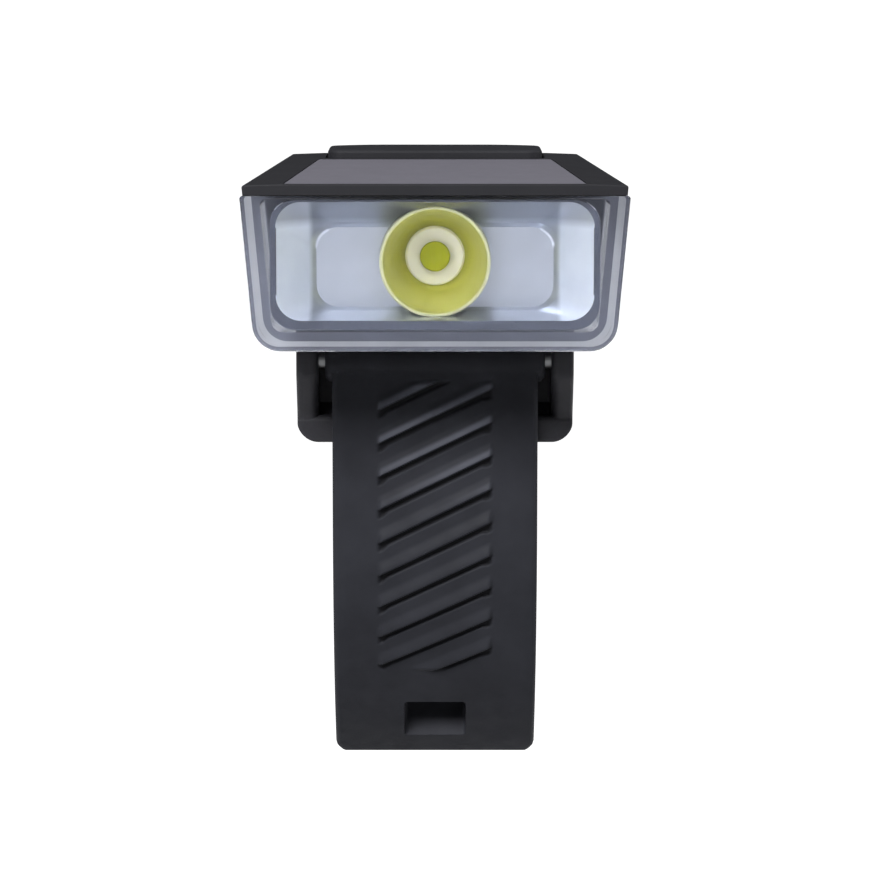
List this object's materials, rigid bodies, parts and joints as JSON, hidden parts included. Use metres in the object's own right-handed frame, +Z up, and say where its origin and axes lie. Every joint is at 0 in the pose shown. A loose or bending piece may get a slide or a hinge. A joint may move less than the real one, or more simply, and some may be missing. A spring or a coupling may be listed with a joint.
{
  "type": "bicycle headlight",
  "caption": "Compact handlebar headlight: tapered lamp head with clear front cap and silver tray, on a swivel bar saddle with ribbed rubber strap.",
  "frame": {"origin": "axis of the handlebar, midway along the saddle", "axes": "+X along the handlebar, +Y from the lamp's face to its rear (the beam leaves along -Y), +Z up"},
  "size_m": [0.0468, 0.0646, 0.0774],
  "materials": {
    "cover_black": "fine satin moulding",
    "plate_grey": "satin grey",
    "case_black": "fine matt moulding",
    "clear_cap": "clear polished polycarbonate",
    "seal_rubber": "matt black",
    "tray_silver": "vacuum-metallised satin silver",
    "cup_silver": "bright metallised, tinted by the LED",
    "led_white": "white",
    "led_phosphor": "yellow phosphor",
    "dome_clear": "clear silicone",
    "core_board": "white solder mask on aluminium",
    "steel": "plain",
    "sink_aluminium": "as cast",
    "lead_red": "insulated lead",
    "board_green": "solder mask",
    "switch_black": "plain",
    "socket_steel": "plated",
    "tongue_black": "plain",
    "battery_foil": "wrapped pouch",
    "tape_white": "foam tape",
    "lead_black": "insulated lead",
    "pipe_clear": "frosted light pipe",
    "screw_black": "black oxide",
    "pad_rubber": "matt silicone",
    "plunger_black": "plain",
    "cover_rubber": "matt silicone",
    "saddle_black": "fine matt moulding",
    "liner_rubber": "matt black",
    "strap_rubber": "matt silicone"
  },
  "bodies": {
    "saddle": {"bracket_base": "saddle_black", "bar_pad": "liner_rubber", "strap_pin": "steel"},
    "lamp_head": {"top_cover": "cover_black", "top_plate": "plate_grey", "lower_case": "case_black", "front_lens": "clear_cap", "lens_gasket": "seal_rubber", "reflector_tray": "tray_silver", "reflector_cup": "cup_silver", "led_base": "led_white", "led_chip": "led_phosphor", "led_dome": "dome_clear", "led_board": "core_board", "board_screws": "steel", "heat_sink": "sink_aluminium", "led_leads": "lead_red", "main_board": "board_green", "tact_switch": "switch_black", "usb_socket": "socket_steel", "usb_tongue": "tongue_black", "battery_pack": "battery_foil", "battery_tape": "tape_white", "battery_leads": "lead_black", "charge_indicator": "pipe_clear", "case_screws": "screw_black", "swivel_washer": "steel", "swivel_screw": "steel", "usb_cover_pin": "steel"},
    "button": {"button_pad": "pad_rubber", "switch_plunger": "plunger_black"},
    "port_cover": {"usb_cover": "cover_rubber"},
    "strap_body": {"strap": "strap_rubber"}
  },
  "joints": [
    {"name": "head_swivel", "type": "hinge", "parent": "saddle", "child": "lamp_head", "pos_m": [0, 0, 0.0219], "axis": [0, 0, 1], "range_deg": [-12, 12]},
    {"name": "button_press", "type": "slide", "parent": "lamp_head", "child": "button", "axis": [0, 0, -1], "range_m": [0, 0.0006], "stiffness_N_per_m": 1500},
    {"name": "port_cover_hinge", "type": "hinge", "parent": "lamp_head", "child": "port_cover", "pos_m": [0, 0.02515, 0.03781], "axis": [1, 0, 0], "range_deg": [0, 110]},
    {"name": "strap_swing", "type": "hinge", "parent": "saddle", "child": "strap_body", "pos_m": [0, -0.01874, 0.0187], "axis": [-1, 0, 0], "range_deg": [0, 75]}
  ]
}
